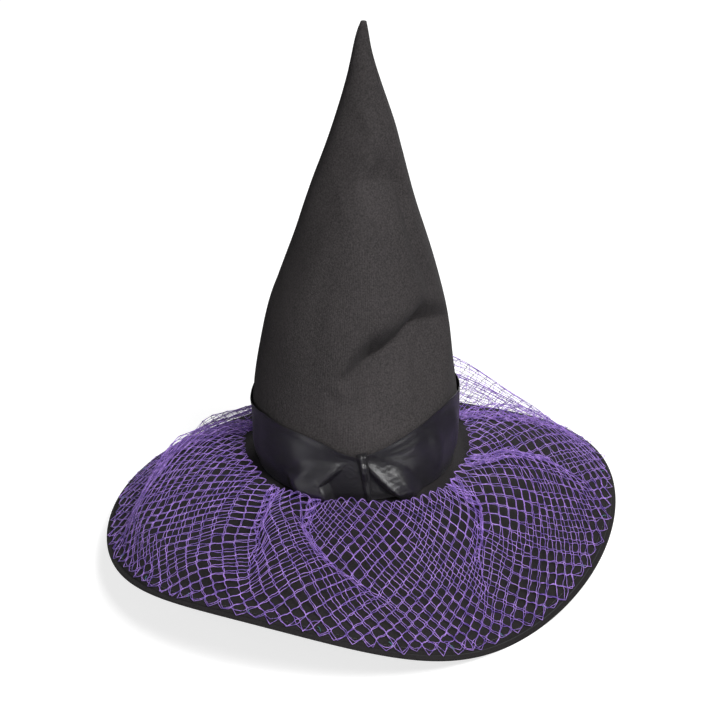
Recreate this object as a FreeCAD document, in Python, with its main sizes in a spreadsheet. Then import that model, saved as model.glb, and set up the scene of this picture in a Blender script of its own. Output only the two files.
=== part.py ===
"""Costume witch hat: a tall soft cone on a wide drooping brim, with a satin hatband and a gathered net veil.

The frame is the wearer's: +Z up the crown, -Y to the front, where the hatband's keeper sits.
The origin is the centre of the head opening, in the plane where the crown meets the brim.
"""
import FreeCAD, Part
import math
import os

import Sketcher

V = FreeCAD.Vector
CIRCLE_POINTS = 48

# Driving dimensions in millimetres, and angles in degrees.
SIZES = {
    "opening_radius": 90.0,
    "sweatband_depth": 32.0,
    "sweatband_thickness": 0.8,
    "layer_gap": 0.1,
    "cloth_thickness": 0.5,
    "interfacing_thickness": 0.8,
    "stiffener_thickness": 1.0,
    "turnup_depth": 10.0,
    "crown_height": 438.0,
    "crown_base_radius": 93.0,
    "tip_cloth": 2.0,
    "interfacing_start": 12.0,
    "interfacing_top_share": 0.87,
    "crown_seam_angle": -25.0,
    "seam_clearance": 1.0,
    "brim_width": 172.0,
    "brim_bow": 6.0,
    "droop_mean": 24.0,
    "droop_to_back": 1.2,
    "droop_two_waves": -7.2,
    "droop_three_waves": -5.4,
    "droop_three_waves_phase": 30.0,
    "droop_four_waves": -1.6,
    "droop_four_waves_phase": -30.0,
    "casing_radius": 2.0,
    "casing_bore_radius": 1.35,
    "wire_radius": 0.8,
    "wire_gap": 0.6,
    "joiner_length": 20.0,
    "joiner_bore_radius": 0.85,
    "joiner_radius": 1.2,
    "thread_radius": 0.25,
    "edge_stitch_inset": 9.0,
    "ribbon_bottom": 2.0,
    "ribbon_width": 68.0,
    "ribbon_thickness": 0.5,
    "ribbon_pinched_width": 49.0,
    "ribbon_pinch_side": 2.0,
    "ribbon_pinch_reach": 82.0,
    "keeper_width": 10.0,
    "keeper_side": 10.0,
    "keeper_thickness": 0.6,
    "veil_thickness": 0.8,
    "veil_inner_radius": 110.0,
    "veil_inner_lift": 24.0,
    "veil_middle_lift": 20.0,
    "veil_outer_lift": 2.6,
    "tack_length": 4.0,
    "tack_clearance": 1.4,
    "label_width": 24.0,
    "label_drop": 34.0,
    "label_thickness": 0.3,
}

# The crown's cross-sections: share of the height, share of the base radius, and the axis's lean to +X.
CROWN_SECTIONS = [
    (0.000, 1.000, 0.0),
    (0.080, 1.050, -0.5),
    (0.160, 1.043, -0.5),
    (0.251, 0.989, -0.3),
    (0.365, 0.898, 0.6),
    (0.502, 0.703, 2.8),
    (0.662, 0.467, 5.2),
    (0.799, 0.276, 7.5),
    (0.890, 0.145, 6.3),
    (0.947, 0.085, 5.6),
    (1.000, 0.024, 6.9),
]
SEAM_LAST_SECTION = 8
SEAM_THREAD_SIDES = 12
NET_TACKS = 24
RIBBON_TACK_ANGLES = (-150.0, -30.0, 30.0, 90.0, 150.0)


def make_sheet(doc):
    """The spreadsheet that holds every driving dimension and the crown's cross-sections."""
    sheet = doc.addObject("Spreadsheet::Sheet", "Sizes")
    cells = dict(SIZES)
    for i, (height, radius, lean) in enumerate(CROWN_SECTIONS):
        cells[f"crown_share_{i}_height"] = height
        cells[f"crown_share_{i}_radius"] = radius
        cells[f"crown_lean_{i}_side"] = lean
    for row, (alias, value) in enumerate(cells.items(), start=1):
        sheet.set(f"A{row}", alias)
        sheet.set(f"B{row}", str(value))
        sheet.setAlias(f"B{row}", alias)
    doc.recompute()
    return sheet


def origin_plane(body, role):
    """One of a body's own origin planes."""
    return next(f for f in body.Origin.OriginFeatures if f.Role == role)


def new_body(doc, label):
    body = doc.addObject("PartDesign::Body", label)
    body.Label = label
    return body


def new_sketch(body, name, role):
    sketch = body.newObject("Sketcher::SketchObject", name)
    sketch.AttachmentSupport = (origin_plane(body, role), [""])
    sketch.MapMode = "FlatFace"
    return sketch


def circle_sketch(body, name, radius, height, side="0"):
    """A circle square to the body's Z axis. radius, height and side are expressions."""
    sketch = new_sketch(body, name, "XY_Plane")
    sketch.addGeometry(Part.Circle(V(0, 0, 0), V(0, 0, 1), 10), False)
    sketch.addConstraint(Sketcher.Constraint("Coincident", 0, 3, -1, 1))
    size = sketch.addConstraint(Sketcher.Constraint("Radius", 0, 10))
    sketch.setExpression(f"Constraints[{size}]", radius)
    sketch.setExpression(".AttachmentOffset.Base.z", height)
    sketch.setExpression(".AttachmentOffset.Base.x", side)
    return sketch


def crown_loft(body, kind, inset, name, top_drop="0"):
    """A loft through the crown's cross-sections, each made smaller by the expression inset."""
    last = len(CROWN_SECTIONS) - 1
    circles = [
        circle_sketch(
            body,
            f"{name}_{i}",
            f"Sizes.crown_base_radius * Sizes.crown_share_{i}_radius - ({inset})",
            f"Sizes.crown_height * Sizes.crown_share_{i}_height - ({top_drop if i == last else 0})",
            f"Sizes.crown_lean_{i}_side",
        )
        for i in range(last + 1)
    ]
    loft = body.newObject(kind, name)
    loft.Profile = circles[0]
    loft.Sections = circles[1:]
    loft.Ruled = False
    body.Document.recompute()
    return loft


def crown_layer(doc, label, outside, inside, top_drop="0"):
    """A hollow cone between two insets from the crown's outside. Both are expressions."""
    body = new_body(doc, label)
    crown_loft(body, "PartDesign::AdditiveLoft", outside, f"{label}_outside")
    crown_loft(body, "PartDesign::SubtractiveLoft", inside, f"{label}_inside", top_drop)
    return body


def trim(body, name, outline, length):
    """Cuts outline away from a body over length, an expression, and makes sure that it cut something."""
    whole = body.Shape.Volume
    cut = body.newObject("PartDesign::Pocket", name)
    cut.Profile = outline
    cut.Reversed = True
    cut.setExpression("Length", length)
    body.Document.recompute()
    if not body.Shape.Volume < whole:
        raise RuntimeError(f"{name} cut nothing")


def trim_round(body, name, bottom, top):
    """Cuts a whole layer away between two heights, which are expressions."""
    outline = circle_sketch(body, f"{name}_outline", "Sizes.crown_base_radius * 1.2", bottom)
    trim(body, name, outline, f"({top}) - ({bottom})")


def make_crown_shell(doc):
    """The outer cloth cone, open at the bottom and closed at its tip."""
    return crown_layer(doc, "crown_shell", "0", "Sizes.cloth_thickness", "Sizes.tip_cloth")


def make_crown_interfacing(doc):
    """The non-woven stiffener that lines the cone, from above the seam allowance to just under the tip."""
    outside = "Sizes.cloth_thickness + Sizes.layer_gap"
    body = crown_layer(doc, "crown_interfacing", outside, f"{outside} + Sizes.interfacing_thickness")
    trim_round(body, "seam_allowance_room", "0", "Sizes.interfacing_start")
    trim_round(body, "tip_room", "Sizes.crown_height * Sizes.interfacing_top_share", "Sizes.crown_height")
    return body


def make_ring(doc, label, inner, outer, bottom, depth):
    """A plain round band, padded from two circles. All sizes are expressions."""
    body = new_body(doc, label)
    sketch = new_sketch(body, f"{label}_section", "XY_Plane")
    for i, radius in enumerate((inner, outer)):
        sketch.addGeometry(Part.Circle(V(0, 0, 0), V(0, 0, 1), 50 + i), False)
        sketch.addConstraint(Sketcher.Constraint("Coincident", i, 3, -1, 1))
        size = sketch.addConstraint(Sketcher.Constraint("Radius", i, 50 + i))
        sketch.setExpression(f"Constraints[{size}]", radius)
    sketch.setExpression(".AttachmentOffset.Base.z", bottom)
    pad = body.newObject("PartDesign::Pad", f"{label}_pad")
    pad.Profile = sketch
    pad.setExpression("Length", depth)
    return body


def droop(sizes, angle):
    """How steeply the brim hangs below level in the direction of angle, all in radians."""
    degrees = sizes["droop_mean"] + sizes["droop_to_back"] * math.sin(angle)
    degrees += sizes["droop_two_waves"] * math.sin(2 * angle)
    for count, name in ((3, "droop_three_waves"), (4, "droop_four_waves")):
        degrees += sizes[name] * math.cos(count * angle - math.radians(sizes[f"{name}_phase"]))
    return math.radians(degrees)


def brim_point(sizes, angle, reach, lift=0.0):
    """A point on the brim's top surface, reach along the cloth from its inner edge, raised by lift."""
    slope = droop(sizes, angle)
    radius = brim_inner_radius(sizes) + reach * math.cos(slope)
    share = reach / sizes["brim_width"]
    bow = 4 * sizes["brim_bow"] * share * (1 - share)
    return V(radius * math.cos(angle), radius * math.sin(angle), -reach * math.sin(slope) + bow + lift)


def brim_inner_radius(sizes):
    return sizes["opening_radius"] + sizes["sweatband_thickness"] + sizes["layer_gap"]


def ring_curve(doc, name, point, start=0.0, sweep=360.0):
    """A smooth curve through point(angle): closed for a whole turn, open for less."""
    closed = sweep == 360.0
    count = max(4, round(CIRCLE_POINTS * sweep / 360.0))
    steps = range(count if closed else count + 1)
    points = [point(math.radians(start + sweep * i / count)) for i in steps]
    curve = Part.BSplineCurve()
    curve.interpolate(Points=points, PeriodicFlag=closed)
    feature = doc.addObject("Part::Feature", name)
    feature.Shape = Part.Wire(curve.toShape())
    return feature


def make_sheet_layer(doc, label, curves, thickness):
    """A cloth layer: a loft through closed curves, given an upward thickness by an expression."""
    loft = doc.addObject("Part::Loft", f"{label}_surface")
    loft.Sections = curves
    loft.Solid = False
    loft.Ruled = False
    layer = doc.addObject("Part::Extrusion", label)
    layer.Base = loft
    layer.DirMode = "Custom"
    layer.Dir = V(0, 0, 1)
    layer.Solid = True
    layer.setExpression("LengthFwd", thickness)
    layer.Label = label
    return layer


def brim_layer(doc, sizes, label, drop, thickness):
    """One of the brim's layers. drop is how far its top lies below the brim's top surface."""
    depth = drop + sizes[thickness]
    curves = []
    for i, share in enumerate((0.0, 0.5, 1.0)):
        reach = share * panel_reach(sizes)
        name = f"{label}_curve_{i}"
        curves.append(ring_curve(doc, name, lambda a, reach=reach: brim_point(sizes, a, reach, -depth)))
    return make_sheet_layer(doc, label, curves, f"Sizes.{thickness}")


def panel_reach(sizes):
    """Where the flat panels stop, so that the round edge casing ends at the full brim width."""
    return sizes["brim_width"] - 2 * sizes["casing_radius"] - 5 * sizes["layer_gap"]


def brim_stack(sizes):
    """How thick the brim's three layers are together, with the gaps between them."""
    return 2 * sizes["cloth_thickness"] + sizes["stiffener_thickness"] + 2 * sizes["layer_gap"]


def edge_point(sizes, angle):
    """A point on the centre line of the wire in the brim's edge."""
    reach = sizes["brim_width"] - sizes["casing_radius"]
    return brim_point(sizes, angle, reach, -brim_stack(sizes) / 2)


def sweep_round(doc, name, spine, radius, sides=None):
    """A rod that follows spine, round or with flat sides. Its section stands square to the spine's start."""
    edge = spine.Shape.Edges[0]
    start = edge.valueAt(edge.FirstParameter)
    along = edge.tangentAt(edge.FirstParameter)
    if sides is None:
        section = doc.addObject("Part::Circle", f"{name}_section")
        section.setExpression("Radius", f"Sizes.{radius}")
    else:
        section = doc.addObject("Part::RegularPolygon", f"{name}_section")
        section.Polygon = sides
        section.setExpression("Circumradius", f"Sizes.{radius}")
    section.Placement = FreeCAD.Placement(start, FreeCAD.Rotation(V(0, 0, 1), along))
    rod = doc.addObject("Part::Sweep", name)
    rod.Sections = [section]
    rod.Spine = (spine, ["Edge1"])
    rod.Solid = True
    rod.Frenet = False
    rod.Label = name
    return rod


def make_cut(doc, label, base, tool, kind="Part::Cut"):
    cut = doc.addObject(kind, label)
    cut.Base = base
    cut.Tool = tool
    cut.Label = label
    return cut


def make_brim_top(doc, sizes):
    """The upper cloth of the brim, with the seam allowance that turns up inside the crown."""
    flat = brim_layer(doc, sizes, "brim_top_cloth", 0.0, "cloth_thickness")
    inner = "Sizes.opening_radius + Sizes.sweatband_thickness + Sizes.layer_gap"
    turnup = make_ring(
        doc,
        "brim_top_turnup",
        inner,
        f"{inner} + Sizes.cloth_thickness",
        "-Sizes.cloth_thickness",
        "Sizes.turnup_depth + Sizes.cloth_thickness",
    )
    return make_cut(doc, "brim_top_panel", flat, turnup, "Part::Fuse")


def make_edge_parts(doc, sizes):
    """The cloth casing round the brim's edge, the wire in it and the sleeve that joins the wire's ends."""
    circumference = ring_curve(doc, "edge_line", lambda a: edge_point(sizes, a)).Shape.Length
    gap = 360.0 * sizes["wire_gap"] / circumference

    casing_line = ring_curve(doc, "casing_line", lambda a: edge_point(sizes, a), 60 + gap / 2, 360 - gap)
    outer = sweep_round(doc, "casing_outside", casing_line, "casing_radius")
    inner = sweep_round(doc, "casing_inside", casing_line, "casing_bore_radius")
    casing = make_cut(doc, "brim_edge_casing", outer, inner)

    wire_line = ring_curve(doc, "wire_line", lambda a: edge_point(sizes, a), 90 + gap / 2, 360 - gap)
    wire = sweep_round(doc, "brim_edge_wire", wire_line, "wire_radius")

    reach = 360.0 * sizes["joiner_length"] / circumference
    joint_line = ring_curve(doc, "joiner_line", lambda a: edge_point(sizes, a), 90 - reach / 2, reach)
    sleeve = sweep_round(doc, "joiner_outside", joint_line, "joiner_radius")
    bore = sweep_round(doc, "joiner_inside", joint_line, "joiner_bore_radius")
    return [casing, wire, make_cut(doc, "wire_joiner", sleeve, bore)]


def make_threads(doc, sizes):
    """The long seams, each a single run of thread. The brim's starts and ends just apart, at the back."""
    lift = sizes["thread_radius"] + sizes["layer_gap"]
    reach = sizes["brim_width"] - sizes["edge_stitch_inset"]
    edge_line = ring_curve(doc, "edge_stitch_line", lambda a: brim_point(sizes, a, reach, lift), 100, 359.7)
    edge = sweep_round(doc, "brim_edge_stitching", edge_line, "thread_radius")

    seam = doc.addObject("Part::Torus", "crown_brim_seam_stitching")
    seam.Label = "crown_brim_seam_stitching"
    seam.setExpression("Radius1", "Sizes.crown_base_radius - Sizes.cloth_thickness - 2 * Sizes.thread_radius")
    seam.setExpression("Radius2", "Sizes.thread_radius")
    seam.setExpression(".Placement.Base.z", "Sizes.turnup_depth / 2")

    return [edge, seam, make_crown_seam(doc, sizes)]


def make_crown_seam(doc, sizes):
    """The crown's one upright seam, stitched through the interfacing from the inside."""
    inset = sizes["cloth_thickness"] + sizes["interfacing_thickness"] + sizes["thread_radius"]
    inset += 2 * sizes["layer_gap"] + sizes["seam_clearance"]
    way = math.radians(sizes["crown_seam_angle"])
    points = []
    for height, radius, lean in CROWN_SECTIONS[1 : SEAM_LAST_SECTION + 1]:
        out = sizes["crown_base_radius"] * radius - inset
        points.append(V(lean + out * math.cos(way), out * math.sin(way), sizes["crown_height"] * height))
    curve = Part.BSplineCurve()
    curve.interpolate(Points=points)
    line = doc.addObject("Part::Feature", "crown_seam_line")
    line.Shape = Part.Wire(curve.toShape())
    return sweep_round(doc, "crown_seam_stitching", line, "thread_radius", SEAM_THREAD_SIDES)


def make_ribbon(doc, sizes):
    """The satin hatband: as wide as its ribbon at the sides, and drawn in at the keeper in front."""
    inside = "-Sizes.layer_gap"
    body = crown_layer(doc, "hatband_ribbon", f"{inside} - Sizes.ribbon_thickness", inside)
    top = "Sizes.ribbon_bottom + Sizes.ribbon_width"
    trim_round(body, "below_ribbon", "0", "Sizes.ribbon_bottom")
    trim_round(body, "above_ribbon", top, "Sizes.crown_height")

    outline = new_sketch(body, "drawn_in_outline", "XZ_Plane")
    corners = [
        ("Sizes.ribbon_pinch_side - Sizes.ribbon_pinch_reach", f"{top} + Sizes.layer_gap"),
        ("Sizes.ribbon_pinch_side", "Sizes.ribbon_bottom + Sizes.ribbon_pinched_width"),
        ("Sizes.ribbon_pinch_side + Sizes.ribbon_pinch_reach", f"{top} + Sizes.layer_gap"),
    ]
    drawn = [V(-60, 90, 0), V(10, 50, 0), V(80, 90, 0)]
    for i, start in enumerate(drawn):
        outline.addGeometry(Part.LineSegment(start, drawn[(i + 1) % 3]), False)
    for i, corner in enumerate(corners):
        outline.addConstraint(Sketcher.Constraint("Coincident", (i - 1) % 3, 2, i, 1))
        for kind, place in zip(("DistanceX", "DistanceY"), corner, strict=True):
            size = outline.addConstraint(Sketcher.Constraint(kind, -1, 1, i, 1, 10))
            outline.setExpression(f"Constraints[{size}]", place)
    trim(body, "drawn_in_front", outline, "Sizes.crown_base_radius * 1.2")
    if front_is_whole(body.Shape, sizes):
        raise RuntimeError("the ribbon was drawn in at the back")
    return body


def front_is_whole(shape, sizes):
    """True if the ribbon still reaches its full height at the front."""
    top = sizes["ribbon_bottom"] + sizes["ribbon_width"]
    probe = Part.makeBox(2, 200, 2, V(sizes["ribbon_pinch_side"] - 1, -200, top - 3))
    return shape.common(probe).Volume > 0


def make_keeper(doc):
    """The narrow satin strip that wraps the ribbon's join and draws it in."""
    inside = "-Sizes.ribbon_thickness - 3 * Sizes.layer_gap"
    band = crown_layer(doc, "keeper_band", f"{inside} - Sizes.keeper_thickness", inside)
    box = doc.addObject("Part::Box", "keeper_extent")
    box.setExpression("Length", "Sizes.keeper_width")
    box.setExpression("Width", "Sizes.crown_base_radius * 1.5")
    box.setExpression("Height", "Sizes.ribbon_pinched_width + 2 * Sizes.keeper_thickness")
    box.setExpression(".Placement.Base.x", "Sizes.keeper_side - Sizes.keeper_width / 2")
    box.setExpression(".Placement.Base.y", "-Sizes.crown_base_radius * 1.5")
    box.setExpression(".Placement.Base.z", "Sizes.ribbon_bottom - Sizes.keeper_thickness")
    return make_cut(doc, "hatband_keeper", band, box, "Part::Common")


def make_veil(doc, sizes):
    """The net veil, standing for its two layers of net as one sheet that puffs up from the brim."""
    inner = brim_inner_radius(sizes)
    outer_reach = sizes["brim_width"] - sizes["edge_stitch_inset"] - 2 * sizes["tack_length"]

    def inner_point(angle):
        reach = (sizes["veil_inner_radius"] - inner) / math.cos(droop(sizes, angle))
        return brim_point(sizes, angle, reach, sizes["veil_inner_lift"])

    curves = [
        ring_curve(doc, "veil_inner_curve", inner_point),
        ring_curve(
            doc,
            "veil_middle_curve",
            lambda a: brim_point(sizes, a, 0.5 * sizes["brim_width"], sizes["veil_middle_lift"]),
        ),
        ring_curve(
            doc, "veil_outer_curve", lambda a: brim_point(sizes, a, outer_reach, sizes["veil_outer_lift"])
        ),
    ]
    return make_sheet_layer(doc, "net_veil", curves, "Sizes.veil_thickness")


def stitch(start, end, radius):
    """One straight tack of thread between two points."""
    return Part.makeCylinder(radius, (end - start).Length, start, end - start)


def make_tacks(doc, sizes):
    """Two groups of small stitches: one holds the net to the brim, the other the ribbon to the crown."""
    radius = sizes["thread_radius"]
    lift = radius + sizes["layer_gap"]
    reach = sizes["brim_width"] - sizes["edge_stitch_inset"] - radius - sizes["layer_gap"]
    net = []
    for i in range(NET_TACKS):
        angle = 2 * math.pi * (i + 0.5) / NET_TACKS
        end = brim_point(sizes, angle, reach - radius - sizes["layer_gap"], lift)
        start = brim_point(sizes, angle, reach - sizes["tack_length"], lift)
        net.append(stitch(start, end, radius))

    out = sizes["crown_base_radius"] + sizes["ribbon_thickness"] + sizes["tack_clearance"] + radius
    ribbon = []
    for degrees in RIBBON_TACK_ANGLES:
        way = V(math.cos(math.radians(degrees)), math.sin(math.radians(degrees)), 0)
        foot = way * out + V(0, 0, sizes["ribbon_bottom"] + radius)
        ribbon.append(stitch(foot, foot + way * 1.0 + V(0, 0, sizes["tack_length"]), radius))

    groups = []
    for label, solids in (("net_tacks", net), ("hatband_tacks", ribbon)):
        group = doc.addObject("Part::Feature", label)
        group.Shape = Part.makeCompound(solids)
        group.Label = label
        groups.append(group)
    return groups


def make_label(doc, sizes):
    """A blank woven label that stands above the sweatband, inside the crown's back."""
    label = doc.addObject("Part::Box", "blank_label")
    label.Label = "blank_label"
    label.setExpression("Length", "Sizes.label_width")
    label.setExpression("Width", "Sizes.label_thickness")
    label.setExpression("Height", "Sizes.label_drop")
    label.setExpression(".Placement.Base.x", "-Sizes.label_width / 2")
    label.setExpression(".Placement.Base.y", "Sizes.opening_radius + Sizes.layer_gap")
    label.setExpression(".Placement.Base.z", "Sizes.sweatband_depth + Sizes.layer_gap")
    return label


def check(doc, parts):
    """Stops before anything is written if an object failed or a part isn't sound."""
    failed = [o.Name for o in doc.Objects if {"Invalid", "Error"} & set(o.State)]
    if failed:
        raise RuntimeError(f"these objects failed to recompute: {failed}")
    for part in parts:
        shape = part.Shape
        if shape.isNull() or not shape.isValid() or not shape.Solids:
            raise RuntimeError(f"{part.Label} has no sound solid")


def main():
    doc = FreeCAD.newDocument("witch_hat")
    sheet = make_sheet(doc)
    sizes = {alias: float(sheet.get(alias)) for alias in SIZES}

    stiffener_drop = sizes["cloth_thickness"] + sizes["layer_gap"]
    under_drop = stiffener_drop + sizes["stiffener_thickness"] + sizes["layer_gap"]
    parts = [
        make_crown_shell(doc),
        make_crown_interfacing(doc),
        make_ring(
            doc,
            "sweatband",
            "Sizes.opening_radius",
            "Sizes.opening_radius + Sizes.sweatband_thickness",
            "0",
            "Sizes.sweatband_depth",
        ),
        make_brim_top(doc, sizes),
        brim_layer(doc, sizes, "brim_stiffener", stiffener_drop, "stiffener_thickness"),
        brim_layer(doc, sizes, "brim_underside_panel", under_drop, "cloth_thickness"),
        *make_edge_parts(doc, sizes),
        *make_threads(doc, sizes),
        make_ribbon(doc, sizes),
        make_keeper(doc),
        make_veil(doc, sizes),
        *make_tacks(doc, sizes),
        make_label(doc, sizes),
    ]
    doc.recompute()
    check(doc, parts)

    os.makedirs("parts", exist_ok=True)
    for part in parts:
        part.Shape.exportStep(f"parts/{part.Label}.step")
        print(part.Label, len(part.Shape.Solids), "solids", round(part.Shape.Volume), "mm3")


main()
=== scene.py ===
"""The looks of the witch hat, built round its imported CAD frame.

Lengths are in millimetres until a mesh is made. Angles are in degrees where a name says so.
A turn is an angle round the hat from the front (-Y) towards +X; an angle is measured from +X towards +Y.
"""

import math

import bpy
import numpy as np
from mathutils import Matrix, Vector
from mathutils.bvhtree import BVHTree


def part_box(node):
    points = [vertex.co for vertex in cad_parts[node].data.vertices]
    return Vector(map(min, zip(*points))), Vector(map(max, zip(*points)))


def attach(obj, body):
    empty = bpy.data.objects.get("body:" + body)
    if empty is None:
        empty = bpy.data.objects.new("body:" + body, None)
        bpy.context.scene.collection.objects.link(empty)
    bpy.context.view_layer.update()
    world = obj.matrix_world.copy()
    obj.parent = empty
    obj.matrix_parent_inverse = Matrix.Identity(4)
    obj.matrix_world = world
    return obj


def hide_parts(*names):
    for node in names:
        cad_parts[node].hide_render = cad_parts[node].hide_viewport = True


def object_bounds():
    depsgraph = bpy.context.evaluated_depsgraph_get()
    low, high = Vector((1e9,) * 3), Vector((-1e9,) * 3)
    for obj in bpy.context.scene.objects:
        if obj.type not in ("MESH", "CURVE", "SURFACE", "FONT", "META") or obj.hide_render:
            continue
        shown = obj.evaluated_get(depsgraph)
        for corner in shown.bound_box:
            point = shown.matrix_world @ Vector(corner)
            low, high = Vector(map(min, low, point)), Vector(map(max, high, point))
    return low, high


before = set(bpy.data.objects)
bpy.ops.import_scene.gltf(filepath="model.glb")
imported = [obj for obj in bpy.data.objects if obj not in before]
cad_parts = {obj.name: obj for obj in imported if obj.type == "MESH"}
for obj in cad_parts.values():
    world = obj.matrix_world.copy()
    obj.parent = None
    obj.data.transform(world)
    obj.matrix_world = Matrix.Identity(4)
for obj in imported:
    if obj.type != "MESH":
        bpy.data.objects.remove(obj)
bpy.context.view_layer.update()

MM = 0.001
SEED = 31

# The thickness of one cloth and of the whole brim.
CLOTH = 0.5
BRIM_LAYERS = 2.2

# Faces that meet at more than this are shaded with an edge between them.
RIM_ANGLE = math.radians(65)

THREAD_SIDES = 5
STITCH_POINTS = 7


# -------- shapes read from the frame


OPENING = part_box("sweatband")[1].x / MM
SWEATBAND_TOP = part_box("sweatband")[1].z / MM
CROWN_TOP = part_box("crown_shell")[1].z / MM
CROWN_READINGS = 110

# The brim's slant length to its wire and to its edge, and how far its cloth bows up between crown and edge.
BRIM_REACH = 170.0
BRIM_FULL_REACH = 172.0
BRIM_BOW = 6.0


def polar(radius, angle, height, lean=0.0):
    """Points at a radius and an angle round an upright axis that stands at x = lean."""
    parts = np.broadcast_arrays(lean + radius * np.cos(angle), radius * np.sin(angle), height)
    return np.stack(parts, axis=-1)


def brim_droop(angle):
    """How steeply the brim hangs below level in a direction, in radians."""
    degrees = 24.0 + 1.2 * np.sin(angle) - 7.2 * np.sin(2 * angle)
    degrees -= 5.4 * np.cos(3 * angle - np.radians(30)) + 1.6 * np.cos(4 * angle + np.radians(30))
    return np.radians(degrees)


def brim_bow(share):
    """How far the brim's cloth rises over a straight line from the crown to the edge."""
    reach = share * BRIM_REACH / BRIM_FULL_REACH
    return 4 * BRIM_BOW * reach * (1 - reach)


def brim_point(angle, share, lift=0.0):
    """A point lift above the brim's top surface. share runs from 0 at the crown to 1 at the wire."""
    droop = brim_droop(np.asarray(angle, float))
    reach = np.asarray(share, float) * BRIM_REACH
    radius = OPENING + reach * np.cos(droop)
    return polar(radius, angle, brim_bow(share) - reach * np.sin(droop) + lift)


def brim_share(angle, radius):
    """How far out on the brim a radius lies, as brim_point's share."""
    return (radius - OPENING) / (BRIM_REACH * np.cos(brim_droop(angle)))


def brim_height(x, y):
    """The height of the brim's top surface under a point."""
    angle = np.arctan2(y, x)
    return brim_point(angle, brim_share(angle, np.hypot(x, y)))[..., 2]


def read_crown():
    """The crown's levels with its radius and the lean of its axis at each, measured across the CAD cone."""
    tree = BVHTree.FromObject(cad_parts["crown_shell"], bpy.context.evaluated_depsgraph_get())
    levels = np.linspace(1.0, CROWN_TOP - 1.0, CROWN_READINGS)
    rows = []
    for level in levels:
        right = tree.ray_cast(Vector((1, 0, level * MM)), Vector((-1, 0, 0)))[0].x / MM
        left = tree.ray_cast(Vector((-1, 0, level * MM)), Vector((1, 0, 0)))[0].x / MM
        rows.append((level, (right - left) / 2, (right + left) / 2))
    return np.array(rows).T


CROWN_LEVELS, CROWN_RADII, CROWN_LEANS = read_crown()


def crown_radius(height):
    return np.interp(height, CROWN_LEVELS, CROWN_RADII)


def crown_lean(height):
    return np.interp(height, CROWN_LEVELS, CROWN_LEANS)


# -------- mesh helpers


def make_piece(name, points, faces, material, node, uv=None):
    """A mesh piece of the hat from points in mm. It rides on the root and stands for a CAD node.

    Its slot has its material's name, to which Blender may have added a number.
    """
    mesh = bpy.data.meshes.new(name)
    mesh.from_pydata((np.asarray(points) * MM).tolist(), [], faces)
    if uv is not None:
        layer = mesh.uv_layers.new(name="cloth_mm")
        loops = np.zeros(len(mesh.loops), int)
        mesh.loops.foreach_get("vertex_index", loops)
        layer.data.foreach_set("uv", np.asarray(uv)[loops].ravel())
    mesh.polygons.foreach_set("use_smooth", np.ones(len(mesh.polygons), bool))
    mesh.update()
    if uv is not None:
        mesh.set_sharp_from_angle(angle=RIM_ANGLE)
    piece = bpy.data.objects.new(name, mesh)
    bpy.context.scene.collection.objects.link(piece)
    piece.data.materials.append(material)
    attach(piece, "root")
    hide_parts(node)


def smooth_step(value, low, high):
    """Rises smoothly from 0 at low to 1 at high."""
    share = np.clip((value - low) / (high - low), 0, 1)
    return share * share * (3 - 2 * share)


def bell(value, middle, width):
    """A bell curve of height 1."""
    return np.exp(-(((value - middle) / width) ** 2))


def blurred(values, reach, **padding):
    """Each value averaged with reach neighbours on either side, the near ones the most."""
    kernel = np.hanning(2 * reach + 1)
    return np.convolve(np.pad(values, reach, **padding), kernel / kernel.sum(), mode="valid")


def full_turn(columns):
    """Angles at equal steps all the way round."""
    return np.linspace(0, 2 * np.pi, columns, endpoint=False)


def distances(points):
    """How far each row of points lies from the first row, along its own column."""
    steps = np.linalg.norm(np.diff(points, axis=0), axis=-1)
    return np.concatenate([0 * steps[:1], np.cumsum(steps, axis=0)])


def along_line(where, reach, line):
    """Places on a line of points, at distances along it. reach holds the distances of the points."""
    return np.stack([np.interp(where, reach, line[:, i]) for i in range(3)], axis=-1)


def unit(vectors):
    """Vectors brought to a length of one."""
    return vectors / np.maximum(np.linalg.norm(vectors, axis=-1, keepdims=True), 1e-9)


def grid_faces(rows, columns, wrap):
    """Quads between rows of points. The columns close into a ring if wrap is set."""
    last = columns if wrap else columns - 1
    row, column = np.meshgrid(np.arange(rows - 1), np.arange(last), indexing="ij")
    after = (column + 1) % columns
    low = row * columns
    high = low + columns
    return np.stack([low + column, low + after, high + after, high + column], axis=-1).reshape(-1, 4)


def closed_sheet(front, back, wrap=True):
    """The points and faces of a cloth: a front grid, a back grid and the rims that join them."""
    rows, columns = front.shape[:2]
    points = np.concatenate([front.reshape(-1, 3), back.reshape(-1, 3)])
    offset = rows * columns
    faces = [grid_faces(rows, columns, wrap)]
    faces.append(faces[0][:, ::-1] + offset)
    column = np.arange(columns if wrap else columns - 1)
    after = (column + 1) % columns
    for row, flip in ((0, False), (rows - 1, True)):
        near, far = row * columns + column, row * columns + after
        rim = np.stack([far, near, offset + near, offset + far], axis=-1)
        faces.append(rim[:, ::-1] if flip else rim)
    if not wrap:
        row = np.arange(rows - 1)
        for column, flip in ((0, True), (columns - 1, False)):
            low, high = row * columns + column, (row + 1) * columns + column
            rim = np.stack([high, low, offset + low, offset + high], axis=-1)
            faces.append(rim[:, ::-1] if flip else rim)
    return points, np.concatenate(faces).tolist()


def sheet_uv(grid):
    """Cloth coordinates in mm: the distance round and the distance across."""
    u = distances(grid.swapaxes(0, 1)).mean(axis=1)
    v = distances(grid).mean(axis=1)
    uv = np.stack(np.broadcast_arrays(u[None, :], v[:, None]), axis=-1).reshape(-1, 2)
    return np.concatenate([uv, uv])


def make_cloth(name, front, back, material, node, wrap=True):
    """The cloth between a front and a back grid of points, as one piece."""
    make_piece(name, *closed_sheet(front, back, wrap), material, node, sheet_uv(front))


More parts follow.
